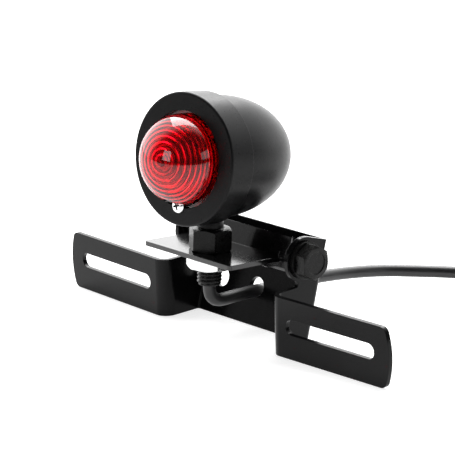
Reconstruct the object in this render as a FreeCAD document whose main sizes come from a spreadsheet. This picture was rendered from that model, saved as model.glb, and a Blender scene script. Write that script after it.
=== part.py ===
import FreeCAD, Part
import math
import os
import re

import Sketcher
from FreeCAD import Placement, Rotation, Vector

# Side-hinged tail light on a number-plate bar.  Millimetres, +X to the right of
# the bar, +Y towards the machine, +Z up, floor of the bar at Z = 0.
# Outlines are drawn with Y = 0 on the front face of the wings; every piece is
# then moved by back_shift so that the origin sits under the middle of the part.

DIMENSIONS = (
    ("back_shift", 1.2),
    ("sheet", 2.0),
    ("lean", 16.0),
    # plate bar
    ("arm_inner", 33.0),
    ("arm_outer", 35.0),
    ("rear_foot", 20.6),
    ("back_height", 42.9),
    ("bend_inner", 3.5),
    ("bend_outer", 5.5),
    ("wing_tip", 99.1),
    ("wing_bow", 2.4),
    ("wing_bow_radius", 33.75),
    ("wing_height", 25.0),
    ("wing_sweep", 2.0),
    ("slot_near", 42.5),
    ("slot_far", 91.2),
    ("slot_middle", 13.6),
    ("slot_half", 3.25),
    ("hole_radius", 4.25),
    ("hole_spread", 22.0),
    ("hole_rise", 15.75),
    # hinge
    ("pivot_back", 18.3),
    ("pivot_up", 35.8),
    ("ear_radius", 9.5),
    ("ear_top_angle", 72.1),
    ("notch_angle", 238.0),
    ("pivot_hole", 4.08),
    ("bolt_radius", 4.0),
    ("bolt_bore", 4.05),
    ("bolt_across", 13.0),
    ("bolt_head", 5.3),
    ("washer_radius", 7.9),
    ("washer_thick", 1.6),
    ("pin_head_radius", 6.2),
    ("pin_head_high", 1.4),
    ("turn_gap", 0.1),
    ("bush_radius", 5.5),
    ("bush_inner", 24.7),
    # yoke
    ("yoke_outer", 32.7),
    ("yoke_inner", 30.7),
    ("wall_front", 5.31),
    ("wall_low", 5.05),
    ("wall_high", 8.25),
    ("yoke_ear", 7.5),
    ("yoke_low_angle", 214.8),
    ("yoke_high_angle", 65.9),
    ("yoke_bend", 2.6),
    ("shelf_half", 26.8),
    ("shelf_front", -15.0),
    ("shelf_rear", 14.0),
    ("shelf_lean", 4.2),
    # stud
    ("stud_side", 0.8),
    ("stud_back", -2.6),
    ("stud_up", 37.89),
    ("stud_radius", 5.15),
    ("stud_bore", 3.1),
    ("stud_below", 14.6),
    ("stud_hole", 5.3),
    ("neck_radius", 5.3),
    ("stem_nut_high", 9.3),
    ("stem_nut_across", 16.0),
    ("lower_nut_high", 5.6),
    ("lower_nut_across", 17.0),
    ("lower_nut_top", 2.1),
    ("stud_top", 20.6),
    ("inner_nut_low", 17.2),
    ("inner_nut_high", 3.0),
    ("inner_nut_across", 14.0),
    # lamp
    ("lamp_side", 2.95),
    ("lamp_front", -17.4),
    ("lamp_up", 79.2),
    ("lamp_tilt", 8.1),
    ("lamp_yaw", 5.6),
    ("bezel_rim", 26.3),
    ("bezel_radius", 27.2),
    ("bezel_depth", 13.2),
    ("bezel_opening", 19.8),
    ("seat_opening", 17.0),
    ("seam_depth", 13.3),
    ("shell_radius", 25.4),
    ("shell_length", 42.5),
    ("shell_wall", 1.8),
    ("dome_depth_power", 2.47),
    ("dome_edge_power", 1.93),
    ("spigot_radius", 24.4),
    ("spigot_front", 5.1),
    ("lens_rim", 18.7),
    ("lens_ahead", 0.1),
    ("lens_apex", 16.4),
    ("lens_wall", 2.2),
    ("flange_radius", 22.2),
    ("bulb_radius", 12.0),
    ("cap_radius", 7.6),
    ("holder_radius", 8.8),
    ("holder_back", -34.4),
    ("strap_long", 39.4),
    ("strap_wide", 20.0),
    ("strap_thick", 1.2),
    ("strap_depth", -29.0),
    ("screw_radius", 3.1),
    ("screw_head_high", 3.4),
    ("screw_shank_radius", 1.25),
    ("screw_hole_radius", 1.4),
    ("pocket_angle", 240.5),
    ("pocket_inner", 16.8),
    ("pocket_deep", 5.0),
    ("pocket_wide", 7.4),
    ("pocket_high", 6.3),
    ("screw_angle", 269.0),
    ("screw_spread", 18.9),
    # cable
    ("cord_radius", 2.7),
    ("coil_outer", 32.4),
    ("coil_inner", 21.6),
    ("coil_high", 10.1),
    ("coil_side", 71.0),
    ("coil_back", 125.0),
    ("wire_radius", 0.9),
    ("sleeve_length", 12.4),
    ("terminal_radius", 1.95),
    ("terminal_length", 12.0),
)

doc = FreeCAD.newDocument("tail_light")
dims = doc.addObject("Spreadsheet::Sheet", "Dims")
for row, (alias, size) in enumerate(DIMENSIONS, start=1):
    dims.set("A%d" % row, alias.replace("_", " "))
    dims.set("B%d" % row, str(size))
    dims.setAlias("B%d" % row, alias)
doc.recompute()

NAMES = {alias for alias, size in DIMENSIONS}


def formula(text):
    """The text with each name turned into a reference to its cell."""
    return re.sub(
        r"[a-z][a-z_]*",
        lambda word: "Dims." + word.group() if word.group() in NAMES else word.group(),
        text,
    )


def amount(text):
    return float(dims.evalExpression(formula(text)))


# ---------------------------------------------------------------- sketches


def new_body(label):
    body = doc.addObject("PartDesign::Body", label)
    body.Label = label
    return body


def origin_plane(body, role):
    return next(item for item in body.Origin.OriginFeatures if item.Role == role)


def new_sketch(body, role, offset=None):
    sketch = body.newObject("Sketcher::SketchObject", body.Label + "_sketch")
    sketch.AttachmentSupport = (origin_plane(body, role), [""])
    sketch.MapMode = "FlatFace"
    if offset is not None:
        sketch.AttachmentOffset = offset
    return sketch


def tie(sketch, kind, *terms):
    """A constraint whose last term, the size, follows the sheet."""
    text = terms[-1]
    index = sketch.addConstraint(Sketcher.Constraint(kind, *terms[:-1], amount(text)))
    sketch.setExpression("Constraints[%d]" % index, formula(text))


def pin(sketch, shape, end, across, up):
    """Holds a point of the sketch at a place measured from the sketch's origin."""
    for kind, axis, text in (("DistanceX", -2, across), ("DistanceY", -1, up)):
        if abs(amount(text)) < 1e-9:
            sketch.addConstraint(Sketcher.Constraint("PointOnObject", shape, end, axis))
        else:
            tie(sketch, kind, -1, 1, shape, end, text)


def on_circle(centre, start, end, anticlockwise):
    """A point half-way along the arc from start to end."""
    first = math.atan2(start.y - centre.y, start.x - centre.x)
    last = math.atan2(end.y - centre.y, end.x - centre.x)
    sweep = (last - first) % (2 * math.pi)
    if not anticlockwise:
        sweep -= 2 * math.pi
    radius = start.distanceToPoint(centre)
    middle = first + sweep / 2
    return centre + Vector(math.cos(middle), math.sin(middle), 0) * radius


def outline(sketch, corners):
    """A closed outline.  A corner is (across, up), or (across, up, (centre
    across, centre up, radius, anticlockwise)) where the edge that leaves it is
    an arc."""
    points = [Vector(amount(corner[0]), amount(corner[1]), 0) for corner in corners]
    ends = []
    for index, corner in enumerate(corners):
        start = points[index]
        end = points[(index + 1) % len(points)]
        if len(corner) == 2:
            shape = sketch.addGeometry(Part.LineSegment(start, end), False)
            ends.append((shape, 1, 2))
            continue
        across, up, radius, anticlockwise = corner[2]
        centre = Vector(amount(across), amount(up), 0)
        middle = on_circle(centre, start, end, anticlockwise)
        shape = sketch.addGeometry(Part.Arc(start, middle, end), False)
        ends.append((shape, 1, 2) if anticlockwise else (shape, 2, 1))
        if start.distanceToPoint(end) > 1.999 * amount(radius):
            tie(sketch, "DistanceX", -1, 1, shape, 3, across)
        else:
            tie(sketch, "Radius", shape, radius)
    for index, (shape, start, end) in enumerate(ends):
        follower, first, last = ends[(index + 1) % len(ends)]
        sketch.addConstraint(
            Sketcher.Constraint("Coincident", shape, end, follower, first)
        )
        pin(sketch, shape, start, corners[index][0], corners[index][1])
    return sketch


def disc(sketch, across, up, radius):
    centre = Vector(amount(across), amount(up), 0)
    shape = sketch.addGeometry(Part.Circle(centre, Vector(0, 0, 1), amount(radius)))
    pin(sketch, shape, 3, across, up)
    tie(sketch, "Radius", shape, radius)
    return sketch


# ---------------------------------------------------------------- features


def extrude(body, kind, sketch, length, symmetric=True):
    feature = body.newObject("PartDesign::" + kind, body.Label + "_" + kind.lower())
    feature.Profile = sketch
    if symmetric:
        feature.SideType = "Symmetric"
    feature.setExpression("Length", formula(length))
    doc.recompute()
    return feature


def spin(body, kind, sketch):
    feature = body.newObject("PartDesign::" + kind, body.Label + "_" + kind.lower())
    feature.Profile = sketch
    feature.ReferenceAxis = (sketch, ["V_Axis"])
    feature.Angle = 360
    doc.recompute()
    return feature


def turned(label, corners):
    """A body of revolution about its own Z axis; corners are (radius, height)."""
    body = new_body(label)
    spin(body, "Revolution", outline(new_sketch(body, "XZ_Plane"), corners))
    return body


def round_edges(body, radius, wanted):
    base = body.Tip
    names = []
    for index, edge in enumerate(base.Shape.Edges, start=1):
        if wanted(edge):
            names.append("Edge%d" % index)
    feature = body.newObject("PartDesign::Fillet", body.Label + "_fillet")
    feature.Base = (base, names)
    feature.setExpression("Radius", formula(radius))
    doc.recompute()
    return feature


def leaning_edge(side):
    """Straight edges that run up the leaning sheet at a given distance out."""
    run = Vector(0, math.sin(math.radians(amount("lean"))), 0)
    run.z = math.cos(math.radians(amount("lean")))

    def wanted(edge):
        if not isinstance(edge.Curve, Part.Line):
            return False
        along = (edge.Vertexes[1].Point - edge.Vertexes[0].Point).normalize()
        out = abs(abs(edge.Vertexes[0].Point.x) - side) < 1e-4
        return out and abs(abs(along.dot(run)) - 1) < 1e-6 and edge.Length > 3

    return wanted


def place_bar(item):
    item.setExpression("Placement.Base.y", formula("-back_shift"))


def stud_placement():
    base = Vector(
        amount("stud_side"), amount("stud_back - back_shift"), amount("stud_up")
    )
    return Placement(base, Rotation(Vector(1, 0, 0), -amount("shelf_lean")))


def lamp_placement():
    base = Vector(
        amount("lamp_side"), amount("lamp_front - back_shift"), amount("lamp_up")
    )
    yaw = Rotation(Vector(0, 0, 1), amount("lamp_yaw"))
    tilt = Rotation(Vector(1, 0, 0), 90 - amount("lamp_tilt"))
    return Placement(base, yaw * tilt)


def cylinder(label, radius, height, placement):
    item = doc.addObject("Part::Cylinder", label)
    item.setExpression("Radius", formula(radius))
    item.setExpression("Height", formula(height))
    item.Placement = placement
    return item


def hexagon(label, across, height, placement):
    item = doc.addObject("Part::Prism", label)
    item.Polygon = 6
    item.setExpression("Circumradius", formula("(" + across + ") / sqrt(3)"))
    item.setExpression("Height", formula(height))
    item.Placement = placement
    return item


def cut(label, base, tool):
    item = doc.addObject("Part::Cut", label)
    item.Label = label
    item.Base = base
    item.Tool = tool
    return item


def fuse(label, items):
    item = doc.addObject("Part::MultiFuse", label)
    item.Label = label
    item.Shapes = items
    return item


def group(label, items):
    item = doc.addObject("Part::Compound", label)
    item.Label = label
    item.Links = items
    return item


# ---------------------------------------------------------------- plate bar


def wing_outline(side):
    """Plan of one wing and its bend, folded from the arm."""
    far = "%s * (wing_tip + 1)" % side
    root = "%s * (arm_outer + bend_inner)" % side
    reach = "(wing_tip + 1 - arm_outer - bend_inner) * tan(wing_sweep)"
    centre = (root, "bend_outer")
    turn = side == "1"
    return (
        ("%s * arm_inner" % side, "bend_outer", centre + ("bend_outer", turn)),
        (root, "0"),
        (far, reach),
        (far, reach + " + sheet"),
        (root, "sheet", centre + ("bend_inner", not turn)),
        ("%s * arm_outer" % side, "bend_outer"),
        ("%s * arm_outer" % side, "bend_outer + 2"),
        ("%s * arm_inner" % side, "bend_outer + 2"),
    )


def wing_end_outline(side):
    """What is cut away beyond the bowed end of a wing."""
    edge = "%s * (wing_tip - wing_bow)" % side
    beyond = "%s * (wing_tip + 4)" % side
    bow = ("%s * (wing_tip - wing_bow_radius)" % side, "wing_height / 2")
    turn = side == "-1"
    return (
        (edge, "wing_height", bow + ("wing_bow_radius", turn)),
        (edge, "0"),
        (edge, "-2"),
        (beyond, "-2"),
        (beyond, "wing_height + 2"),
        (edge, "wing_height + 2"),
    )


def slot_outline(side):
    near = "%s * (slot_near + slot_half)" % side
    far = "%s * (slot_far - slot_half)" % side
    turn = side == "1"
    return (
        (near, "slot_middle - slot_half"),
        (far, "slot_middle - slot_half", (far, "slot_middle", "slot_half", turn)),
        (far, "slot_middle + slot_half"),
        (near, "slot_middle + slot_half", (near, "slot_middle", "slot_half", turn)),
    )


def arm_outline():
    """Side of the arm, its ear round the hinge and the leaning rear edge."""
    pivot = ("pivot_back", "pivot_up", "ear_radius", True)
    top = "pivot_%s + ear_radius * %s(ear_top_angle)"
    low = "pivot_%s + ear_radius * %s(notch_angle)"
    notch = low % ("back", "cos")
    relief = "(%s - wing_height) / 2" % (low % ("up", "sin"))
    return (
        ("bend_outer", "0"),
        ("rear_foot", "0"),
        ("rear_foot + back_height * sin(lean)", "back_height * cos(lean)"),
        (top % ("back", "cos"), top % ("up", "sin"), pivot),
        (notch, low % ("up", "sin"), (notch, "wing_height + " + relief, relief, False)),
        (notch, "wing_height"),
        ("bend_outer", "wing_height"),
    )


def channel_outline():
    """The hollow between the arms, in front of the rear sheet."""
    face = "rear_foot - sheet / cos(lean)"
    return (
        ("-20", "-5"),
        (face + " - 5 * tan(lean)", "-5"),
        (face + " + 60 * tan(lean)", "60"),
        ("-20", "60"),
    )


def make_plate_bar():
    body = new_body("plate_bar")
    side = outline(new_sketch(body, "YZ_Plane"), arm_outline())
    extrude(body, "Pad", side, "2 * arm_outer")
    hollow = outline(new_sketch(body, "YZ_Plane"), channel_outline())
    extrude(body, "Pocket", hollow, "2 * arm_inner")
    round_edges(body, "sheet * 1.5", leaning_edge(amount("arm_outer")))
    round_edges(body, "sheet * 0.5", leaning_edge(amount("arm_inner")))
    for side in ("1", "-1"):
        plan = outline(new_sketch(body, "XY_Plane"), wing_outline(side))
        extrude(body, "Pad", plan, "wing_height", symmetric=False)
        for shape in (wing_end_outline(side), slot_outline(side)):
            front = outline(new_sketch(body, "XZ_Plane"), shape)
            extrude(body, "Pocket", front, "40")
    tip = amount("wing_tip - wing_bow")

    def wing_corner(edge):
        middle = edge.CenterOfMass
        ends = [vertex.Point for vertex in edge.Vertexes]
        level = abs(ends[0].z - ends[-1].z) < 1e-6
        return level and abs(abs(middle.x) - tip) < 0.01 and edge.Length < 3

    round_edges(body, "3", wing_corner)
    hinge = disc(new_sketch(body, "YZ_Plane"), "pivot_back", "pivot_up", "pivot_hole")
    extrude(body, "Pocket", hinge, "80")
    rear = Placement(
        Vector(0, 0, -amount("rear_foot")), Rotation(Vector(1, 0, 0), -amount("lean"))
    )
    holes = new_sketch(body, "XZ_Plane", rear)
    for across in ("-hole_spread", "0", "hole_spread"):
        disc(holes, across, "hole_rise", "hole_radius")
    extrude(body, "Pocket", holes, "12")
    place_bar(body)
    return body


# ---------------------------------------------------------------- lamp yoke


def beside_pivot(along, ahead):
    """A point of the yoke: along the leaning wall from the hinge, and ahead."""
    back = "pivot_back + (%s) * sin(lean) - (%s) * cos(lean)" % (along, ahead)
    up = "pivot_up + (%s) * cos(lean) + (%s) * sin(lean)" % (along, ahead)
    return back, up


def yoke_outline():
    ear = "pivot_%s + yoke_ear * %s(%s)"
    low = [ear % (way, turn, "yoke_low_angle") for way, turn in (("back", "cos"), ("up", "sin"))]
    high = [ear % (way, turn, "yoke_high_angle") for way, turn in (("back", "cos"), ("up", "sin"))]
    pivot = ("pivot_back", "pivot_up", "yoke_ear", True)
    return (
        beside_pivot("-wall_low", "wall_front"),
        (low[0], low[1], pivot),
        (high[0], high[1]),
        beside_pivot("wall_high", "wall_front"),
    )


def yoke_hollow():
    return (
        beside_pivot("-30", "wall_front - sheet"),
        beside_pivot("-30", "-30"),
        beside_pivot("30", "-30"),
        beside_pivot("30", "wall_front - sheet"),
    )


def shelf_outline():
    top = "stud_up - (%s - stud_back) * tan(shelf_lean)"
    front = top % "(shelf_front)"
    rear = top % "shelf_rear"
    return (
        ("shelf_front", front + " - sheet"),
        ("shelf_rear", rear + " - sheet"),
        ("shelf_rear", rear),
        ("shelf_front", front),
    )


def make_lamp_yoke():
    body = new_body("lamp_yoke")
    side = outline(new_sketch(body, "YZ_Plane"), yoke_outline())
    extrude(body, "Pad", side, "2 * yoke_outer")
    hollow = outline(new_sketch(body, "YZ_Plane"), yoke_hollow())
    extrude(body, "Pocket", hollow, "2 * yoke_inner")
    round_edges(body, "yoke_bend", leaning_edge(amount("yoke_outer")))
    round_edges(body, "yoke_bend - sheet", leaning_edge(amount("yoke_inner")))
    shelf = outline(new_sketch(body, "YZ_Plane"), shelf_outline())
    extrude(body, "Pad", shelf, "2 * shelf_half")
    front = amount("shelf_front")

    def shelf_corner(edge):
        middle = edge.CenterOfMass
        near = abs(middle.y - front) < 0.01 and edge.Length < 3
        return near and abs(abs(middle.x) - amount("shelf_half")) < 0.01

    round_edges(body, "1.5", shelf_corner)
    for middle in (1, -1):
        place = amount("bush_inner + yoke_outer") / 2 * middle
        offset = Placement(Vector(0, 0, place), Rotation())
        bush = new_sketch(body, "YZ_Plane", offset)
        disc(bush, "pivot_back", "pivot_up", "bush_radius")
        extrude(body, "Pad", bush, "yoke_outer - bush_inner - 1")
        bore = new_sketch(body, "YZ_Plane", offset)
        disc(bore, "pivot_back", "pivot_up", "bolt_bore")
        extrude(body, "Pocket", bore, "yoke_outer - bush_inner + 2")
    tilt = Placement(
        Vector(0, amount("stud_back"), amount("stud_up")),
        Rotation(Vector(1, 0, 0), -amount("shelf_lean")),
    )
    hole = new_sketch(body, "XY_Plane", tilt)
    disc(hole, "stud_side", "0", "stud_hole")
    extrude(body, "Pocket", hole, "12")
    place_bar(body)
    return body


# ---------------------------------------------------------------- hinge fasteners


def along_pivot(side, start):
    """A frame on the hinge axis that points outwards from one arm."""
    base = Vector(
        side * start, amount("pivot_back - back_shift"), amount("pivot_up")
    )
    return Placement(base, Rotation(Vector(0, 1, 0), 90 * side))


def ring(label, outer, inner, thick, placement):
    body = cylinder(label + "_disc", outer, thick, placement)
    bore = cylinder(label + "_bore", inner, thick, placement)
    return cut(label, body, bore)


def make_clamping_bolt():
    """The bolt and washer that clamp the lamp's angle on the right-hand arm."""
    ring("pivot_washer", "washer_radius", "bolt_radius + 0.2", "washer_thick",
         along_pivot(1, amount("arm_outer")))
    face = "arm_outer + washer_thick + turn_gap"
    head = hexagon("bolt_head", "bolt_across", "bolt_head", along_pivot(1, amount(face)))
    shank = cylinder("bolt_shank", "bolt_radius", face + " - bush_inner + 1",
                     along_pivot(1, amount("bush_inner")))
    fuse("pivot_bolt", [head, shank])


def make_hinge_pin():
    """The low-headed pin, pressed into its bush, that carries the left-hand arm."""
    face = "arm_outer + turn_gap"
    rise = "(pin_head_high - 0.4)"
    dome = "(pin_head_radius ^ 2 + %s ^ 2) / (2 * %s)" % (rise, rise)
    edge = face + " + 0.4"
    corners = (
        ("0", "bush_inner"),
        ("bolt_radius", "bush_inner"),
        ("bolt_radius", face),
        ("pin_head_radius", face),
        ("pin_head_radius", edge, ("0", face + " + pin_head_high - " + dome, dome, True)),
        ("0", face + " + pin_head_high"),
    )
    turned("pivot_pin", corners).Placement = along_pivot(-1, 0)


# ---------------------------------------------------------------- stud and nuts


def make_stud():
    """Hollow threaded stud that carries the lamp and lets the cable through."""
    corners = (
        ("stud_bore", "-stud_below"),
        ("stud_radius - 0.5", "-stud_below"),
        ("stud_radius", "-stud_below + 0.5"),
        ("stud_radius", "stem_nut_high"),
        ("neck_radius", "stem_nut_high"),
        ("neck_radius", "inner_nut_low - 3.4"),
        ("stud_radius", "inner_nut_low - 3.4"),
        ("stud_radius", "stud_top"),
        ("stud_bore", "stud_top"),
    )
    stud = turned("mounting_stud", corners)
    stud.Placement = stud_placement()


def stud_nut(label, across, low, high, turn):
    """A nut on the stud, with one of its corners turned from +X."""
    spun = Rotation(Vector(0, 0, 1), turn)
    place = stud_placement() * Placement(Vector(0, 0, amount(low)), spun)
    body = hexagon(label + "_hexagon", across, high, place)
    bore = cylinder(label + "_bore", "stud_radius + 0.02", high, place)
    cut(label, body, bore)


# ---------------------------------------------------------------- lamp


def dome_radius(depth, radius, length):
    """Radius of the bullet-shaped shell at a depth behind the seam."""
    shrink = 1 - (depth / length) ** amount("dome_depth_power")
    return radius * shrink ** (1 / amount("dome_edge_power"))


def dome_curve(radius, length, seam):
    """Bullet profile from the seam to the middle of the back."""
    points = []
    for step in range(13):
        angle = math.radians(90 * step / 12)
        depth = length * math.sin(angle)
        points.append(Vector(dome_radius(depth, radius, length), -seam - depth, 0))
    points[-1] = Vector(0, -seam - length, 0)
    curve = Part.BSplineCurve()
    curve.interpolate(points)
    return curve


def make_housing():
    """Bullet shell, spigot under the bezel and the hole for the stud."""
    seam = amount("seam_depth")
    wall = amount("shell_wall")
    outer = dome_curve(amount("shell_radius"), amount("shell_length"), seam)
    inner = dome_curve(
        amount("shell_radius") - wall, amount("shell_length") - wall, seam
    )
    spigot = amount("spigot_radius")
    front = -amount("spigot_front")
    lip = amount("seat_opening")
    bore = amount("shell_radius") - wall
    run = [
        Vector(inner.value(inner.FirstParameter)),
        Vector(bore - 1.0, -seam, 0),
        Vector(bore - 1.0, front - wall, 0),
        Vector(lip, front - wall, 0),
        Vector(lip, front, 0),
        Vector(spigot, front, 0),
        Vector(spigot, -seam, 0),
        Vector(outer.value(outer.FirstParameter)),
    ]
    body = new_body("housing_shell")
    sketch = new_sketch(body, "XZ_Plane")
    sketch.addGeometry(outer, False)
    for start, end in zip(run[:-1], run[1:]):
        sketch.addGeometry(Part.LineSegment(start, end), False)
    sketch.addGeometry(inner, False)
    top = Vector(0, -seam - amount("shell_length"), 0)
    sketch.addGeometry(Part.LineSegment(top, top + Vector(0, wall, 0)), False)
    spin(body, "Revolution", sketch)
    body.Placement = lamp_placement()
    hole = cylinder("housing_hole", "stud_radius + 0.25", "stud_top + 3", stud_placement())
    cut("lamp_housing", body, fuse("housing_holes", [hole, screw_hole("housing_screw_hole")]))


def make_bezel():
    edge = "bezel_radius - bezel_rim"
    corners = (
        ("bezel_opening", "0"),
        ("bezel_rim", "0", ("bezel_rim", "-(%s)" % edge, edge, False)),
        ("bezel_radius", "-(%s)" % edge),
        ("bezel_radius", "-bezel_depth + 0.6"),
        ("bezel_radius - 0.6", "-bezel_depth"),
        ("spigot_radius + 0.1", "-bezel_depth"),
        ("spigot_radius + 0.1", "-5"),
        ("flange_radius + 0.2", "-5"),
        ("flange_radius + 0.2", "-1.7"),
        ("bezel_opening", "-1.7"),
    )
    rim = turned("bezel_rim_ring", corners)
    rim.Placement = lamp_placement()
    notch = cylinder("bezel_notch", "screw_radius + 0.3", "6", screw_placement("-2"))
    cut("lamp_bezel", rim, notch)


def make_lens():
    """Domed lens with a flange held behind the bezel, a notch for its screw and
    a shallow pocket beside it."""
    rise = "(lens_apex - lens_ahead)"
    radius = "(lens_rim ^ 2 + %s ^ 2) / (2 * %s)" % (rise, rise)
    inner = "(%s - lens_wall)" % radius
    middle = "lens_apex - " + radius
    corners = (
        ("0", "lens_apex - lens_wall"),
        ("0", "lens_apex", ("0", middle, radius, False)),
        ("lens_rim", "lens_ahead"),
        ("lens_rim", "-1.75"),
        ("flange_radius", "-1.75"),
        ("flange_radius", "-3.7"),
        (inner, "-3.7"),
        (inner, middle, ("0", middle, inner, True)),
    )
    dome = turned("lens_dome", corners)
    dome.Placement = lamp_placement()
    notch = cylinder("lens_notch", "screw_radius + 0.4", "20", screw_placement("-1.75"))
    pocket = doc.addObject("Part::Box", "lens_pocket")
    pocket.setExpression("Length", formula("pocket_deep"))
    pocket.setExpression("Width", formula("pocket_wide"))
    pocket.setExpression("Height", formula("pocket_high"))
    spun = Placement(Vector(), Rotation(Vector(0, 0, 1), amount("pocket_angle")))
    corner = Vector(amount("pocket_inner"), amount("-pocket_wide / 2"), -1.75)
    pocket.Placement = lamp_placement() * spun * Placement(corner, Rotation())
    spaces = fuse("lens_spaces", [notch, pocket, screw_hole("lens_screw_hole")])
    cut("lens", dome, spaces)


def screw_placement(height):
    """A frame on the lens screw's axis, at a height above the bezel's face."""
    angle = math.radians(amount("screw_angle"))
    spread = amount("screw_spread")
    point = Vector(spread * math.cos(angle), spread * math.sin(angle), amount(height))
    return lamp_placement() * Placement(point, Rotation())


def screw_hole(label):
    return cylinder(label, "screw_hole_radius", "9", screw_placement("-9.5"))


def make_lens_screw():
    head = cylinder("screw_head", "screw_radius", "screw_head_high", screw_placement("-1.7"))
    shank = cylinder("screw_shank", "screw_shank_radius", "8", screw_placement("-9"))
    slots = []
    for name, turn in (("one", 20), ("two", 110)):
        item = doc.addObject("Part::Box", "screw_slot_" + name)
        item.Length = 3.6
        item.Width = 0.8
        item.Height = 2
        spun = Placement(Vector(), Rotation(Vector(0, 0, 1), turn))
        corner = Placement(Vector(-1.8, -0.4, 0), Rotation())
        item.Placement = screw_placement("screw_head_high - 2.9") * spun * corner
        slots.append(item)
    cut("lens_screw", fuse("screw_body", [head, shank]), fuse("screw_cross", slots))


def make_lamp_inside():
    ring_corners = (
        ("seat_opening", "-3.75"),
        ("flange_radius", "-3.75"),
        ("flange_radius", "-5.05"),
        ("seat_opening", "-5.05"),
    )
    gasket = turned("gasket_ring", ring_corners)
    gasket.Placement = lamp_placement()
    cut("lens_gasket", gasket, screw_hole("gasket_hole"))
    bowl = (
        ("20.6", "-8"),
        ("20.6", "-7"),
        ("17.4", "-7"),
        ("holder_radius + 0.6", "-18"),
        ("holder_radius + 0.6", "-20"),
        ("holder_radius + 1.6", "-20"),
        ("holder_radius + 1.6", "-18"),
        ("18.2", "-8"),
    )
    reflector = turned("reflector_bowl", bowl)
    reflector.Placement = lamp_placement()
    cut("reflector", reflector, screw_hole("reflector_hole"))
    cup = (
        ("0", "-33"),
        ("0", "holder_back"),
        ("holder_radius", "holder_back"),
        ("holder_radius", "-17"),
        ("cap_radius + 0.15", "-17"),
        ("cap_radius + 0.15", "-33"),
    )
    turned("bulb_holder", cup).Placement = lamp_placement()
    cap = (
        ("0", "-31"),
        ("cap_radius", "-31"),
        ("cap_radius", "-14.5"),
        ("cap_radius - 0.5", "-14.5"),
        ("cap_radius - 0.5", "-30"),
        ("0", "-30"),
    )
    turned("bulb_cap", cap).Placement = lamp_placement()
    glass = doc.addObject("Part::Sphere", "glass_ball")
    glass.setExpression("Radius", formula("bulb_radius"))
    glass.Placement = lamp_placement() * Placement(Vector(0, 0, -1.2), Rotation())
    neck = cylinder("glass_neck", "cap_radius - 0.6", "20",
                    lamp_placement() * Placement(Vector(0, 0, -29), Rotation()))
    fuse("bulb_glass", [glass, neck])
    contacts = []
    for name, across in (("one", 3.2), ("two", -3.2)):
        place = lamp_placement() * Placement(Vector(across, 0, -33), Rotation())
        contacts.append(cylinder("contact_" + name, "1.4", "1.9", place))
    group("bulb_contacts", contacts)
    strap = doc.addObject("Part::Box", "strap_sheet")
    strap.setExpression("Length", formula("strap_long"))
    strap.setExpression("Width", formula("strap_wide"))
    strap.setExpression("Height", formula("strap_thick"))
    depth = amount("strap_depth")
    corner = Vector(amount("-strap_long / 2"), amount("-strap_wide / 2"), depth)
    strap.Placement = lamp_placement() * Placement(corner, Rotation())
    hole = cylinder("strap_hole", "holder_radius", "strap_thick",
                    lamp_placement() * Placement(Vector(0, 0, depth), Rotation()))
    cut("bulb_strap", strap, hole)


# ---------------------------------------------------------------- cable


def tube(label, points, radius, placement=None):
    """Straight runs joined by tangent arcs, swept with a round section."""
    edges = []
    start = points[0]
    for index in range(1, len(points) - 1):
        corner = points[index]
        before = points[index - 1] - corner
        after = points[index + 1] - corner
        shorter = min(before.Length, after.Length)
        before.normalize()
        after.normalize()
        half_turn = (math.pi - before.getAngle(after)) / 2
        trim = 0.45 * shorter
        bend = trim / math.tan(half_turn)
        inward = (before + after).normalize()
        first = corner + before * trim
        last = corner + after * trim
        middle = corner + inward * (math.hypot(bend, trim) - bend)
        edges.append(Part.LineSegment(start, first).toShape())
        edges.append(Part.Arc(first, middle, last).toShape())
        print(label, "bend", index, "radius", round(bend, 1))
        start = last
    edges.append(Part.LineSegment(start, points[-1]).toShape())
    path = Part.Wire(edges)
    axis = points[1] - points[0]
    section = Part.Wire(Part.makeCircle(radius, points[0], axis))
    solid = path.makePipeShell([section], True, False)
    ideal = math.pi * radius ** 2 * path.Length
    print(label, "length", round(path.Length, 1), "volume ratio", round(solid.Volume / ideal, 4))
    item = doc.addObject("Part::Feature", label)
    item.Label = label
    item.Shape = solid
    if placement is not None:
        item.Placement = placement
    return path.Length


def bar_point(across, back, up):
    return Vector(across, back - amount("back_shift"), up)


def along_stud(height):
    return stud_placement().multVec(Vector(0, 0, height))


def make_cable():
    radius = amount("cord_radius")
    end = along_stud(-amount("stud_below") - 0.05)
    riser = cylinder("cord_riser", "cord_radius", "stud_below + stud_top + 0.6",
                     stud_placement() * Placement(Vector(0, 0, -amount("stud_below")), Rotation()))
    riser.Label = "cord_riser"
    hole = bar_point(0.4, 24.0, 14.2)
    flex = [
        end,
        along_stud(-amount("stud_below") - 3.05),
        bar_point(0.7, -2.5, 17.3),
        bar_point(0.6, 0.3, 15.3),
        bar_point(0.4, 5.3, 14.8),
        bar_point(0.5, 13.0, 14.9),
        hole,
    ]
    tube("cord_flex", flex, radius)
    coil = bar_point(amount("coil_side"), amount("coil_back"), 0)
    lay = amount("coil_outer") - radius
    touch = coil + Vector(-0.714, 0.70, 0) * lay + Vector(0, 0, radius)
    lead = [
        hole,
        bar_point(0.1, 35.5, 13.3),
        bar_point(-0.8, 49.5, 12.5),
        bar_point(-2.0, 64.5, 10.8),
        bar_point(-1.9, 80.5, 8.7),
        bar_point(1.6, 95.5, 6.9),
        bar_point(10.9, 107.3, 5.9),
        bar_point(22.4, 118.8, 5.2),
        bar_point(35.8, 131.7, 3.8),
        touch,
    ]
    tube("cord_lead", lead, radius)
    return coil


def make_coil(coil):
    corners = (
        ("coil_inner", "0"),
        ("coil_outer", "0"),
        ("coil_outer", "cord_radius * 2"),
        ("coil_outer - 2.4", "coil_high"),
        ("coil_inner + 2.4", "coil_high"),
        ("coil_inner", "cord_radius * 2"),
    )
    turned("cord_coil", corners).Placement = Placement(coil, Rotation())


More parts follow.
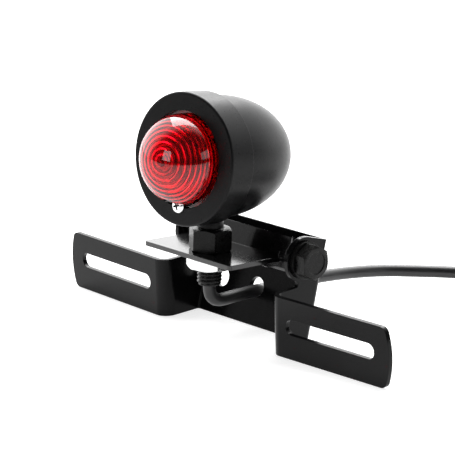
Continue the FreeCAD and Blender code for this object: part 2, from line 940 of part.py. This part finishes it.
def make_cable_end(coil):
    """Sleeve over the end of the cable and three wires with bullet terminals,
    lying on top of the coil."""
    rest = amount("coil_high")
    sleeve_radius = amount("cord_radius + 0.5")
    start = coil + Vector(-25.5, -3, rest + sleeve_radius + 0.05)
    along = Vector(0.17, 0.985, 0).normalize()
    facing = Rotation(Vector(0, 0, 1), along)
    sleeve = cylinder("cord_sleeve", "cord_radius + 0.5", "sleeve_length", Placement(start, facing))
    sleeve.Label = "cord_sleeve"
    mouth = start + along * amount("sleeve_length")
    height = rest + amount("terminal_radius") + 0.05
    across = Vector(-along.y, along.x, 0)
    wires = []
    terminals = []
    layout = (
        ("inner", -1.9, Vector(-15.5, 15.5, height), Vector(0.85, 0.53, 0)),
        ("mid", 0.0, Vector(-19, 18.2, height), Vector(0.75, 0.66, 0)),
        ("outer", 1.9, Vector(-23, 20.5, height), Vector(0.62, 0.78, 0)),
    )
    for name, shift, tip, heading in layout:
        heading.normalize()
        end = coil + tip
        first = mouth + across * shift
        points = [first, first + along * 3.6, end - heading * 4.4, end]
        tube("tail_" + name, points, amount("wire_radius"))
        wires.append(doc.getObject("tail_" + name))
        facing = Placement(end, Rotation(Vector(0, 0, 1), heading))
        terminals.append(cylinder("bullet_" + name, "terminal_radius", "terminal_length", facing))
    group("wire_tails", wires)
    group("wire_terminals", terminals)


def make_lamp_wires():
    """Three cores that fan out from the cable to the back of the bulb holder."""
    inverse = lamp_placement().inverse()
    top = inverse.multVec(along_stud(amount("stud_top") + 0.6))
    radius = amount("wire_radius")
    cores = []
    for name, shift in (("left", -1.9), ("middle", 0.0), ("right", 1.9)):
        start = top + Vector(shift * 0.65, 1.0 if shift else -0.6, 0)
        points = [
            start,
            start + Vector(0, 3.2, -0.6),
            Vector(shift, -13.2, -31.0),
            Vector(shift, -8.0, -36.6),
            Vector(shift * 1.4, -3.0, -34.42),
        ]
        tube("core_" + name, points, radius, lamp_placement())
        cores.append(doc.getObject("core_" + name))
    group("lamp_wires", cores)


make_plate_bar()
make_lamp_yoke()
make_clamping_bolt()
make_hinge_pin()
make_stud()
stud_nut("stem_nut", "stem_nut_across", "0.02", "stem_nut_high - 0.05", 30)
stud_nut("lower_nut", "lower_nut_across", "-lower_nut_top - lower_nut_high", "lower_nut_high", 37.6)
stud_nut("stud_inner_nut", "inner_nut_across", "inner_nut_low", "inner_nut_high", 0)
make_housing()
make_bezel()
make_lens()
make_lens_screw()
make_lamp_inside()
coil_place = make_cable()
make_coil(coil_place)
make_cable_end(coil_place)
make_lamp_wires()
doc.recompute()

NODES = (
    "plate_bar", "pivot_washer",
    "lamp_yoke", "pivot_bolt", "pivot_pin",
    "mounting_stud", "stem_nut", "lower_nut", "stud_inner_nut",
    "lamp_housing", "lamp_bezel", "lens", "lens_screw", "lens_gasket",
    "reflector", "bulb_holder", "bulb_cap", "bulb_glass", "bulb_contacts",
    "bulb_strap", "lamp_wires",
    "cord_riser", "cord_flex", "cord_lead", "cord_coil", "cord_sleeve", "wire_tails", "wire_terminals",
)

for item in doc.Objects:
    if "Invalid" in item.State or "Error" in item.State:
        raise RuntimeError("%s failed: %s" % (item.Label, item.State))

os.makedirs("parts", exist_ok=True)
for label in NODES:
    item = doc.getObjectsByLabel(label)[0]
    shape = item.Shape
    if shape.isNull() or not shape.isValid():
        raise RuntimeError("%s has no valid shape" % label)
    print(label, "solids", len(shape.Solids), "volume", round(shape.Volume, 1))
    shape.exportStep("parts/%s.step" % label)
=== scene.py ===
import math

import bmesh
import bpy
from mathutils import Matrix, Vector


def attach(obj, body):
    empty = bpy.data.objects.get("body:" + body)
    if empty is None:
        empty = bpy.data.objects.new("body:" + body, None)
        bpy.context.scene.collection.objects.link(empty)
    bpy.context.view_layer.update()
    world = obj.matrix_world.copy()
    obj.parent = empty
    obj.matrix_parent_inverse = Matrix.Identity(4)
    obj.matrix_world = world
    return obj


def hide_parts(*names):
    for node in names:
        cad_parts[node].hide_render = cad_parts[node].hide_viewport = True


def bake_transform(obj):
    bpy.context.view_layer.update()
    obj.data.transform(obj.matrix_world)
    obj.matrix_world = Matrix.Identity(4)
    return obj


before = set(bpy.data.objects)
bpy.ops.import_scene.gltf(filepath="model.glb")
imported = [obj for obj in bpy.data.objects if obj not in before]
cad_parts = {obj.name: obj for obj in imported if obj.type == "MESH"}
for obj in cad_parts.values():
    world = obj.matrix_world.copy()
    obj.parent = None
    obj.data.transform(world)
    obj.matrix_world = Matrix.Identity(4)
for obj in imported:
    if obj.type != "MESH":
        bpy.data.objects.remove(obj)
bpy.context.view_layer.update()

MM = 0.001
ON_AXIS = 1e-6

# Sizes shared with the CAD source, in millimetres, in the row frame.
LAMP_FRONT = Vector((2.95, -18.6, 79.2))
LAMP_TILT = math.radians(8.1)
LAMP_YAW = math.radians(5.6)
STUD_FOOT = Vector((0.8, -3.8, 37.89))
SHELF_LEAN = math.radians(4.2)
PIVOT = Vector((0.0, 17.1, 35.8))
SCREW_ANGLE = math.radians(269.0)
SCREW_SPREAD = 18.9
POCKET_ANGLE = math.radians(240.5)
CORD_DIAMETER = 5.4
CABLE_HOLE = Vector((0.4, 22.8, 14.2))
COIL = Vector((71.0, 123.8, 0.0))
COIL_OUTER = 29.7

# From the coil's middle: the way to where the lead joins it, and the sleeve's near end.
COIL_START = (-0.714, 0.70)
SLEEVE_START = (-25.5, -3.0)

# The way to the bright half of the studio.
BRIGHT_SIDE = (-0.74, 0.66, 0.12)

LAMP = (
    Matrix.Translation(LAMP_FRONT)
    @ Matrix.Rotation(LAMP_YAW, 4, "Z")
    @ Matrix.Rotation(math.pi / 2 - LAMP_TILT, 4, "X")
)
STUD = Matrix.Translation(STUD_FOOT) @ Matrix.Rotation(-SHELF_LEAN, 4, "X")


def add_object(name, data):
    item = bpy.data.objects.new(name, data)
    bpy.context.scene.collection.objects.link(item)
    return item


def evaluated_mesh(item):
    """The item's mesh with its modifiers or its curve bevel worked out."""
    graph = bpy.context.evaluated_depsgraph_get()
    return bpy.data.meshes.new_from_object(item.evaluated_get(graph))


# ------------------------------------------------------------------ camera


def make_camera():
    data = bpy.data.cameras.new("camera")
    data.sensor_width = 36.0
    data.lens = 192.2
    data.clip_start = 0.05
    data.clip_end = 20.0
    camera = add_object("camera", data)
    place = Vector((0.7274, -0.6219, 0.3225))
    aim = Vector((-0.0055, 0.0114, 0.0427))
    turn = (aim - place).to_track_quat("-Z", "Y").to_matrix().to_4x4()
    roll = Matrix.Rotation(math.radians(-1.77), 4, "Z")
    camera.matrix_world = Matrix.Translation(place) @ turn @ roll
    bpy.context.scene.camera = camera


# ------------------------------------------------------------------ materials


def nodes_of(name):
    material = bpy.data.materials.new(name)
    material.use_nodes = True
    tree = material.node_tree
    shader = next(n for n in tree.nodes if n.type == "BSDF_PRINCIPLED")
    return material, tree, shader


def grain(tree, scale, detail=3.0):
    """Noise that is fixed to the piece."""
    place = tree.nodes.new("ShaderNodeTexCoord")
    noise = tree.nodes.new("ShaderNodeTexNoise")
    noise.inputs["Scale"].default_value = scale
    noise.inputs["Detail"].default_value = detail
    tree.links.new(place.outputs["Object"], noise.inputs["Vector"])
    return noise.outputs["Fac"]


def spread(tree, value, low, high):
    """Stretches the middle of the noise's range over low to high."""
    span = tree.nodes.new("ShaderNodeMapRange")
    span.inputs["From Min"].default_value = 0.3
    span.inputs["From Max"].default_value = 0.7
    span.inputs["To Min"].default_value = low
    span.inputs["To Max"].default_value = high
    tree.links.new(value, span.inputs["Value"])
    return span.outputs["Result"]


def tint(tree, value, dark, light):
    """A colour between dark and light, as the value says."""
    ramp = tree.nodes.new("ShaderNodeMix")
    ramp.data_type = "RGBA"
    ramp.inputs["A"].default_value = (*dark, 1)
    ramp.inputs["B"].default_value = (*light, 1)
    tree.links.new(value, ramp.inputs["Factor"])
    return ramp.outputs["Result"]


def relief(tree, shader, height, strength, distance, edge=0.0):
    """Fine bumps, over edges softened by the given radius."""
    bump = tree.nodes.new("ShaderNodeBump")
    bump.inputs["Strength"].default_value = strength
    bump.inputs["Distance"].default_value = distance
    tree.links.new(height, bump.inputs["Height"])
    if edge:
        bevel = tree.nodes.new("ShaderNodeBevel")
        bevel.samples = 4
        bevel.inputs["Radius"].default_value = edge
        tree.links.new(bevel.outputs["Normal"], bump.inputs["Normal"])
    tree.links.new(bump.outputs["Normal"], shader.inputs["Normal"])


def surface(
    name, dark, light, rough, metal=0.0, scale=400.0, bump=0.1, depth=0.0001,
    edge=0.0, specular=0.5,
):
    """One finish: mottled colour, uneven gloss, fine relief and softened edges."""
    material, tree, shader = nodes_of(name)
    fine = grain(tree, scale)
    broad = grain(tree, scale * 0.12, 2.0)
    shader.inputs["Metallic"].default_value = metal
    shader.inputs["Specular IOR Level"].default_value = specular
    colour = tint(tree, spread(tree, broad, 0, 1), dark, light)
    tree.links.new(colour, shader.inputs["Base Color"])
    tree.links.new(spread(tree, fine, *rough), shader.inputs["Roughness"])
    relief(tree, shader, fine, bump, depth, edge)
    return material


def red_lens():
    """Clear red moulded plastic, deeply coloured, with a polished skin."""
    material, tree, shader = nodes_of("lens_skin")
    shader.inputs["Base Color"].default_value = (0.86, 0.0025, 0.012, 1)
    shader.inputs["IOR"].default_value = 1.47
    shader.inputs["Transmission Weight"].default_value = 1.0
    fine = grain(tree, 180.0)
    tree.links.new(spread(tree, fine, 0.0, 0.02), shader.inputs["Roughness"])
    relief(tree, shader, grain(tree, 60.0, 1.0), 0.015, 0.0002)
    return material


def clear_glass():
    """The bulb's thin glass."""
    material, tree, shader = nodes_of("bulb_clear")
    shader.inputs["Base Color"].default_value = (0.96, 0.98, 0.98, 1)
    shader.inputs["IOR"].default_value = 1.45
    shader.inputs["Transmission Weight"].default_value = 1.0
    tree.links.new(spread(tree, grain(tree, 200.0), 0.0, 0.05), shader.inputs["Roughness"])
    return material


def black_finishes():
    paint_dark, paint_light = (0.0018, 0.0018, 0.002), (0.0032, 0.0032, 0.0034)
    return {
        "paint": surface(
            "gloss_black_paint", paint_dark, paint_light, (0.13, 0.21),
            scale=900, bump=0.05, depth=0.0002, edge=0.0004, specular=0.12),
        "yoke": surface(
            "yoke_black_paint", paint_dark, paint_light, (0.10, 0.17),
            scale=900, bump=0.05, depth=0.0002, edge=0.0004, specular=0.5),
        "lamp": surface(
            "lamp_black_paint", (0.0022, 0.0022, 0.0024), (0.0038, 0.0038, 0.0041), (0.27, 0.36),
            scale=1200, bump=0.06, edge=0.0004, specular=0.12),
        "steel": surface(
            "black_steel", (0.0025, 0.0025, 0.0025), (0.006, 0.006, 0.0058), (0.22, 0.38),
            scale=700, bump=0.12, depth=0.0002, edge=0.0003, specular=0.14),
        "thread": surface(
            "black_thread", (0.003, 0.003, 0.003), (0.008, 0.008, 0.008), (0.2, 0.36),
            scale=900, specular=0.2),
    }


def bright_metals():
    return {
        "zinc": surface(
            "bright_zinc", (0.62, 0.63, 0.63), (0.86, 0.86, 0.85), (0.16, 0.34),
            metal=1.0, scale=500, bump=0.08, depth=0.0002, edge=0.0003),
        "chrome": surface(
            "chrome", (0.80, 0.80, 0.80), (0.9, 0.9, 0.9), (0.04, 0.12),
            metal=1.0, scale=900, bump=0.03, edge=0.0001),
        "mirror": surface(
            "bright_reflector", (0.75, 0.75, 0.76), (0.88, 0.88, 0.88), (0.05, 0.15),
            metal=1.0, scale=300, bump=0.02, depth=0.0002),
        "brass": surface(
            "plain_brass", (0.62, 0.45, 0.18), (0.75, 0.56, 0.26), (0.2, 0.4),
            metal=1.0, scale=700, edge=0.0002),
        "tin": surface(
            "tinned_brass", (0.62, 0.58, 0.50), (0.78, 0.75, 0.68), (0.2, 0.38),
            metal=1.0, scale=800, edge=0.0002),
    }


def soft_jackets():
    return {
        "rubber": surface(
            "black_rubber", (0.02, 0.02, 0.02), (0.035, 0.035, 0.035), (0.55, 0.75),
            scale=1500, bump=0.2),
        "cable": surface(
            "cable_jacket", (0.006, 0.006, 0.0065), (0.011, 0.011, 0.012), (0.36, 0.5),
            scale=1100, bump=0.12),
        "sleeve": surface(
            "shrink_sleeve", (0.012, 0.012, 0.012), (0.02, 0.02, 0.02), (0.3, 0.42),
            scale=1500, bump=0.15),
        "red_wire": surface(
            "red_insulation", (0.40, 0.010, 0.010), (0.52, 0.02, 0.018), (0.3, 0.45),
            scale=1500),
    }


def make_materials():
    looks = {"skin": red_lens(), "glass": clear_glass()}
    looks.update(black_finishes())
    looks.update(bright_metals())
    looks.update(soft_jackets())
    return looks


# ------------------------------------------------------------------ meshes


def new_piece(name, bm, matrix, material):
    """Puts a mesh that is drawn in millimetres at its place in the row frame."""
    bmesh.ops.transform(bm, matrix=Matrix.Scale(MM, 4) @ matrix, verts=bm.verts)
    bmesh.ops.recalc_face_normals(bm, faces=bm.faces)
    mesh = bpy.data.meshes.new(name)
    bm.to_mesh(mesh)
    bm.free()
    mesh.materials.append(material)
    mesh.polygons.foreach_set("use_smooth", [True] * len(mesh.polygons))
    return add_object(name, mesh)


def circle(bm, radius, height, around):
    return [
        bm.verts.new((radius * math.cos(2 * math.pi * i / around),
                      radius * math.sin(2 * math.pi * i / around), height))
        for i in range(around)
    ]


def bridge(bm, loops):
    """Four-sided faces between each loop of vertices and the next."""
    for low, high in zip(loops[:-1], loops[1:]):
        for i in range(len(low)):
            j = (i + 1) % len(low)
            bm.faces.new((low[i], low[j], high[j], high[i]))


def turned_mesh(profile, around=96):
    """Solid of revolution about Z; the profile is (radius, height) points."""
    bm = bmesh.new()
    rings = []
    for radius, height in profile:
        if radius < ON_AXIS:
            rings.append([bm.verts.new((0, 0, height))])
        else:
            rings.append(circle(bm, radius, height, around))
    closed = profile[0][0] > ON_AXIS and profile[-1][0] > ON_AXIS
    pairs = list(zip(rings[:-1], rings[1:]))
    if closed:
        pairs.append((rings[-1], rings[0]))
    for low, high in pairs:
        for i in range(around):
            j = (i + 1) % around
            if len(low) == 1:
                bm.faces.new((low[0], high[i], high[j]))
            elif len(high) == 1:
                bm.faces.new((low[i], high[0], low[j]))
            else:
                bm.faces.new((low[i], high[i], high[j], low[j]))
    return bm


def cut_with(piece, *tools):
    """Takes the tools out of the piece for good."""
    for tool in tools:
        change = piece.modifiers.new("cut", "BOOLEAN")
        change.operation = "DIFFERENCE"
        change.solver = "EXACT"
        change.material_mode = "TRANSFER"
        change.object = tool
        mesh = evaluated_mesh(piece)
        piece.modifiers.clear()
        piece.data = mesh
        bpy.data.objects.remove(tool)


def sharpen(piece, degrees=35):
    """Smooth shading that stops at the hard edges."""
    bm = bmesh.new()
    bm.from_mesh(piece.data)
    limit = math.radians(degrees)
    for edge in bm.edges:
        if len(edge.link_faces) == 2:
            edge.smooth = edge.calc_face_angle(0) < limit
    for face in bm.faces:
        face.smooth = True
    bm.to_mesh(piece.data)
    bm.free()


def hexagon_mesh(across, low, high, bore=0.0, turned_foot=True):
    """A nut or bolt head: a six-sided prism whose corners are turned down."""
    around = 96
    flat_radius = across / 2 * 0.97
    corner_drop = 0.58
    chamfer = 0.7
    bm = bmesh.new()

    def outline(height, slope):
        """The six sides, dropping from the height towards the corners."""
        verts = []
        for i in range(around):
            angle = 2 * math.pi * i / around
            part = (angle + math.pi / 6) % (math.pi / 3) - math.pi / 6
            radius = across / 2 / math.cos(part)
            drop = (radius - across / 2) * slope
            verts.append(bm.verts.new((radius * math.cos(angle), radius * math.sin(angle),
                                       height - drop)))
        return verts

    loops = []
    if turned_foot:
        loops += [circle(bm, flat_radius, low, around), outline(low, -corner_drop)]
    else:
        loops += [outline(low, 0)]
    loops += [outline(high, corner_drop), circle(bm, flat_radius, high, around)]
    if bore:
        loops.append(circle(bm, bore + chamfer, high, around))
        loops.append(circle(bm, bore, high - chamfer, around))
        loops.append(circle(bm, bore, low + chamfer, around))
        loops.append(circle(bm, bore + chamfer, low, around))
        loops.append(loops[0])
    bridge(bm, loops)
    if not bore:
        bm.faces.new(loops[0])
        bm.faces.new(loops[-1])
    return bm


def thread_mesh(radius, depth, pitch, low, high, bore):
    """A threaded tube: a helical ridge of the given pitch on a hollow core."""
    around = 48
    per_turn = 10
    flat_crest = 1.25
    run_in, run_out = pitch * 0.8, pitch * 0.4
    bm = bmesh.new()
    rows = int((high - low) / pitch * per_turn)
    grid = []
    for row in range(rows + 1):
        height = low + (high - low) * row / rows
        fade = min(1.0, (height - low) / run_in, (high - height) / run_out + 0.05)
        ring = []
        for i in range(around):
            turn = i / around
            phase = (height / pitch - turn) % 1.0
            ridge = min(1.0, (1 - abs(phase * 2 - 1)) * flat_crest)
            r = radius - depth * (1 - ridge) - (1 - max(0.0, fade)) * depth * ridge
            angle = 2 * math.pi * turn
            ring.append(bm.verts.new((r * math.cos(angle), r * math.sin(angle), height)))
        grid.append(ring)
    for height in (high, low):
        grid.append(circle(bm, bore, height, around))
    grid.append(grid[0])
    bridge(bm, grid)
    return bm


# ------------------------------------------------------------------ lens


def dome_profile(radius, height, foot, steps):
    """From the middle of the dome down to just above its rim."""
    points = []
    for step in range(steps):
        angle = math.pi / 2 * step / steps
        points.append((radius * math.sin(angle), foot + height * math.cos(angle)))
    return points


def ringed_profile(radius, height, foot, count, swell):
    """Beads that swell out and up alike, stepping down a blunt cone to its rim."""
    parts = 7
    smallest = 0.05
    points = [(0.0, foot + height)]
    for index in range(count):
        for part in range(parts):
            along = part / (parts - 1)
            down = (index + along) / count
            reach = radius * math.sin(down * math.pi / 2) ** 0.95
            rise = height * (1 - down ** 1.12)
            bulge = swell * math.sin(math.pi * along) ** 0.7 * 0.7
            points.append((max(reach + bulge, smallest), foot + rise + bulge))
    return points


def on_screw(height):
    """The lens screw's frame, at a height above the bezel's face."""
    turn = Matrix.Rotation(SCREW_ANGLE, 4, "Z")
    return LAMP @ turn @ Matrix.Translation((SCREW_SPREAD, 0, height))


def box_mesh(size):
    bm = bmesh.new()
    bmesh.ops.create_cube(bm, size=1.0)
    bmesh.ops.scale(bm, vec=size, verts=bm.verts)
    return bm


def make_lens(looks):
    """The moulding: smooth outside, ringed inside, a flange, a notch and a pocket."""
    rim, flange = 18.4, 22.2
    rim_up, flange_top, flange_foot = 0.1, -1.75, -3.7
    outside = dome_profile(radius=rim, height=16.3, foot=rim_up, steps=40)
    outside += [(rim, rim_up), (rim, flange_top), (flange, flange_top), (flange, flange_foot)]
    rings = ringed_profile(radius=16.2, height=12.4, foot=-0.6, count=11, swell=0.55)
    inside = [(16.6, flange_foot)] + rings[::-1]
    piece = new_piece("lens_skin", turned_mesh(outside + inside, 144), LAMP, looks["skin"])
    notch_foot = flange_top + 0.01
    clear = [(0, notch_foot), (3.3, notch_foot), (3.3, 22), (0, 22)]
    notch = new_piece("notch", turned_mesh(clear, 48), on_screw(0), looks["skin"])
    turn = Matrix.Rotation(POCKET_ANGLE, 4, "Z")
    place = LAMP @ turn @ Matrix.Translation((19.3, 0, 1.41))
    deep, wide, high = 5.0, 7.4, 6.3
    pocket = new_piece("pocket", box_mesh((deep, wide, high)), place, looks["skin"])
    cut_with(piece, notch, pocket)
    sharpen(piece, 30)
    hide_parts("lens")
    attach(piece, "lamp")


def make_lens_screw(looks):
    """Domed head with a cross cut into it, and its shank."""
    head = [(0.0, 1.35), (1.5, 1.25), (2.4, 1.0), (2.9, 0.55), (3.1, 0.0), (3.1, -2.05),
            (1.25, -2.05), (1.25, -8.9), (0.0, -9.3)]
    place = on_screw(0.35)
    piece = new_piece("lens_screw_head", turned_mesh(head, 48), place, looks["chrome"])
    tools = []
    for turn in (20, 110):
        spin = Matrix.Rotation(math.radians(turn), 4, "Z")
        cross = place @ spin @ Matrix.Translation((0, 0, 1.35))
        tools.append(new_piece("cross", box_mesh((3.7, 0.85, 2.6)), cross, looks["rubber"]))
    cut_with(piece, *tools)
    sharpen(piece, 30)
    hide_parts("lens_screw")
    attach(piece, "lamp")


# ------------------------------------------------------------------ fasteners


def make_pivot_bolt(looks):
    """The hexagon bolt on the right-hand arm: a dished head and a shank."""
    along = Matrix.Translation((0, PIVOT.y, PIVOT.z)) @ Matrix.Rotation(math.pi / 2, 4, "Y")
    head = hexagon_mesh(across=13.0, low=36.7, high=42.0, turned_foot=False)
    corners_up = along @ Matrix.Rotation(math.radians(30), 4, "Z")
    head = new_piece("pivot_bolt_head", head, corners_up, looks["steel"])
    dish = turned_mesh([(0, 41.65), (4.6, 41.65), (5.0, 43), (0, 43)], 64)
    dish = new_piece("dish", dish, along, looks["steel"])
    cut_with(head, dish)
    sharpen(head, 25)
    shank = turned_mesh([(0, 24.8), (3.4, 24.8), (4.0, 25.4), (4.0, 36.75), (0, 36.75)], 64)
    shank = new_piece("pivot_bolt_shank", shank, along, looks["steel"])
    sharpen(shank)
    for item in (head, shank):
        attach(item, "yoke")
    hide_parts("pivot_bolt")


def make_stud(looks):
    """The hollow threaded stud with its plain neck, and the three nuts on it."""
    thread = thread_mesh(radius=5.15, depth=0.66, pitch=1.5, low=-14.6, high=9.2, bore=3.1)
    thread = new_piece("stud_thread", thread, STUD, looks["thread"])
    sharpen(thread, 60)
    neck = [(3.1, 9.2), (4.9, 9.2), (5.3, 9.6), (5.3, 14.6), (5.1, 14.9), (5.1, 20.6), (3.1, 20.6)]
    collar = new_piece("stud_neck", turned_mesh(neck, 64), STUD, looks["lamp"])
    sharpen(collar)
    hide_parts("mounting_stud")
    for item in (thread, collar):
        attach(item, "lamp")
    nuts = (
        ("stem_nut", "stem_nut_black", 16.0, 0.02, 9.27, "steel", "black_zinc", 0),
        ("lower_nut", "lower_nut_zinc", 17.0, -7.7, -2.1, "zinc", "zinc_plate", 7.6),
        ("stud_inner_nut", "inner_nut_zinc", 14.0, 17.2, 20.2, "zinc", "zinc_plate", 0),
    )
    for node, name, across, low, high, look, slot, turn in nuts:
        bm = hexagon_mesh(across, low, high, bore=5.17)
        nut = new_piece(name, bm, STUD @ Matrix.Rotation(math.radians(turn), 4, "Z"), looks[look])
        sharpen(nut, 25)
        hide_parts(node)
        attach(nut, "lamp")


# ------------------------------------------------------------------ cable


def curve(name, points, material):
    """A round cable along a smooth line near the points."""
    data = bpy.data.curves.new(name, "CURVE")
    data.dimensions = "3D"
    data.bevel_depth = CORD_DIAMETER / 2 * MM
    data.bevel_resolution = 6
    data.resolution_u = 10
    data.use_fill_caps = True
    spline = data.splines.new("NURBS")
    spline.points.add(len(points) - 1)
    for point, place in zip(spline.points, points):
        point.co = (*(Vector(place) * MM), 1.0)
    spline.order_u = 3
    spline.use_endpoint_u = True
    data.materials.append(material)
    return add_object(name, data)


def line_of(piece):
    """The points along a curve's own centreline."""
    depth, caps = piece.data.bevel_depth, piece.data.use_fill_caps
    piece.data.bevel_depth = 0
    piece.data.use_fill_caps = False
    bpy.context.view_layer.update()
    mesh = evaluated_mesh(piece)
    points = [vertex.co.copy() for vertex in mesh.vertices]
    bpy.data.meshes.remove(mesh)
    piece.data.bevel_depth = depth
    piece.data.use_fill_caps = caps
    return points


def length_of(points):
    return sum((b - a).length for a, b in zip(points[:-1], points[1:]))


def coil_points():
    """Three turns, two below and one nested above, then up into the sleeve."""
    start = math.atan2(COIL_START[1], COIL_START[0])
    finish = math.atan2(SLEEVE_START[1], SLEEVE_START[0])
    sleeve_reach = math.hypot(*SLEEVE_START)
    sleeve_height = 13.35
    cord_radius = CORD_DIAMETER / 2
    radii = (COIL_OUTER, COIL_OUTER - CORD_DIAMETER, COIL_OUTER - cord_radius)
    heights = (cord_radius, cord_radius, 7.4)
    turns = 2 + (start - finish) / (2 * math.pi)
    crossing, climbing = 0.25, 0.16
    per_turn = 14
    count = round(turns * per_turn)
    points = []
    for index in range(1, count + 1):
        turn = turns * index / count
        level = min(int(turn), 2)
        after = min(level + 1, 2)
        shift = max(0.0, 1 - (level + 1 - turn) / crossing) if level < 2 else 0.0
        climb = max(0.0, 1 - (turns - turn) / climbing)
        radius = radii[level] * (1 - shift) + radii[after] * shift
        radius = radius * (1 - climb) + sleeve_reach * climb
        height = heights[level] * (1 - shift) + heights[after] * shift
        height = height * (1 - climb) + sleeve_height * climb
        angle = start - 2 * math.pi * turn
        points.append(COIL + Vector((radius * math.cos(angle), radius * math.sin(angle), height)))
    return points


def make_cable_bend(looks, hole):
    """The short bend of cable under the stud, running to the rear hole."""
    along = STUD.to_3x3() @ Vector((0, 0, 1))
    end = STUD_FOOT - along * 14.65
    route = [
        end, STUD_FOOT - along * 17.65, (0.7, -3.7, 17.3), (0.6, -0.9, 15.3), (0.4, 4.1, 14.8),
        (0.5, 11.8, 14.9), hole,
    ]
    bend = curve("cable_bend_line", route, looks["cable"])
    path = line_of(bend)
    mesh = evaluated_mesh(bend)
    bpy.data.objects.remove(bend)
    soft = add_object("cable_bend", mesh)
    mesh.polygons.foreach_set("use_smooth", [True] * len(mesh.polygons))
    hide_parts("cord_flex")
    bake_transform(soft)


def make_cable(looks, hole):
    """The rest of the cable: back from the rear hole, then round the coil."""
    route = [
        hole, (0.1, 34.3, 13.3), (-0.8, 48.3, 12.5), (-2.0, 63.3, 10.8), (-1.9, 79.3, 8.7),
        (1.6, 94.3, 6.9), (10.9, 106.1, 5.9), (22.4, 117.6, 5.2), (35.8, 130.5, 3.8),
    ]
    touch = COIL + Vector((*COIL_START, 0)) * COIL_OUTER + Vector((0, 0, CORD_DIAMETER / 2))
    cable = curve("cable", route + [touch] + coil_points(), looks["cable"])
    length = length_of(line_of(cable))
    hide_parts("cord_lead", "cord_coil")
    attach(cable, "bracket")


# ------------------------------------------------------------------ carried-over nodes


def dress_nodes(looks):
    """Finishes on the CAD pieces that are shown as they are."""
    wear = {
        "plate_bar": "paint", "lamp_yoke": "yoke", "pivot_washer": "steel", "pivot_pin": "steel",
        "lamp_housing": "lamp", "lamp_bezel": "lamp", "lens_gasket": "rubber",
        "reflector": "mirror", "bulb_holder": "zinc", "bulb_cap": "brass", "bulb_glass": "glass",
        "bulb_contacts": "brass", "bulb_strap": "zinc", "lamp_wires": "red_wire",
        "cord_riser": "cable", "cord_sleeve": "sleeve", "wire_tails": "red_wire",
        "wire_terminals": "tin",
    }
    for node, look in wear.items():
        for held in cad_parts[node].material_slots:
            held.material = looks[look]


# ------------------------------------------------------------------ stage


def make_stage():
    """A pale floor that glows a little, so that shadows on it stay faint."""
    bm = bmesh.new()
    bmesh.ops.create_grid(bm, x_segments=1, y_segments=1, size=4.0)
    mesh = bpy.data.meshes.new("floor")
    bm.to_mesh(mesh)
    bm.free()
    material, tree, shader = nodes_of("pale_floor")
    shader.inputs["Roughness"].default_value = 0.9
    shader.inputs["Specular IOR Level"].default_value = 0.1
    shader.inputs["Emission Color"].default_value = (1, 1, 1, 1)
    shader.inputs["Emission Strength"].default_value = 0.75
    mottle = spread(tree, grain(tree, 3.0), 0, 1)
    colour = tint(tree, mottle, (0.46, 0.46, 0.46), (0.50, 0.50, 0.50))
    tree.links.new(colour, shader.inputs["Base Color"])
    mesh.materials.append(material)
    floor = add_object("floor", mesh)
    floor.location.z = -0.0003


def softbox(name, place, aim, size, power, turn=0.0):
    """A rectangular area light that faces its aim, turned about that line."""
    data = bpy.data.lights.new(name, "AREA")
    data.shape = "RECTANGLE"
    data.size, data.size_y = size
    data.energy = power
    light = add_object(name, data)
    light.location = place
    facing = (Vector(aim) - Vector(place)).to_track_quat("-Z", "Y").to_matrix()
    spun = facing @ Matrix.Rotation(math.radians(turn), 3, "Z")
    light.rotation_euler = spun.to_euler()


def make_world():
    """A studio that is dark on the camera's side and bright behind the object."""
    world = bpy.data.worlds.new("world")
    bpy.context.scene.world = world
    world.use_nodes = True
    tree = world.node_tree
    background = next(n for n in tree.nodes if n.type == "BACKGROUND")
    place = tree.nodes.new("ShaderNodeTexCoord")
    side = tree.nodes.new("ShaderNodeVectorMath")
    side.operation = "DOT_PRODUCT"
    side.inputs[1].default_value = BRIGHT_SIDE
    ramp = tree.nodes.new("ShaderNodeMapRange")
    ramp.interpolation_type = "SMOOTHSTEP"
    ramp.inputs["From Min"].default_value = -0.05
    ramp.inputs["From Max"].default_value = 0.5
    ramp.inputs["To Min"].default_value = 0.06
    ramp.inputs["To Max"].default_value = 3.0
    tree.links.new(place.outputs["Generated"], side.inputs[0])
    tree.links.new(side.outputs["Value"], ramp.inputs["Value"])
    tree.links.new(ramp.outputs["Result"], background.inputs["Strength"])
    background.inputs["Color"].default_value = (1, 1, 1, 1)


def make_lights():
    softbox("overhead", (-0.73, 0.745, 0.95), (-0.73, 0.7451, 0.0), (1.6, 1.0), 42, turn=-37.7)
    softbox("front_window", (-0.07, -0.96, 0.35), (0, 0, 0.08), (0.34, 0.36), 1.6)
    softbox("side_window", (0.93, 0.26, 0.36), (0, 0, 0.08), (0.5, 0.3), 0.9)


bpy.context.scene.view_settings.view_transform = "Standard"
make_camera()
LOOKS = make_materials()
make_cable_bend(LOOKS, CABLE_HOLE)
make_cable(LOOKS, CABLE_HOLE)
dress_nodes(LOOKS)
make_lens(LOOKS)
make_lens_screw(LOOKS)
make_pivot_bolt(LOOKS)
make_stud(LOOKS)
make_stage()
make_world()
make_lights()
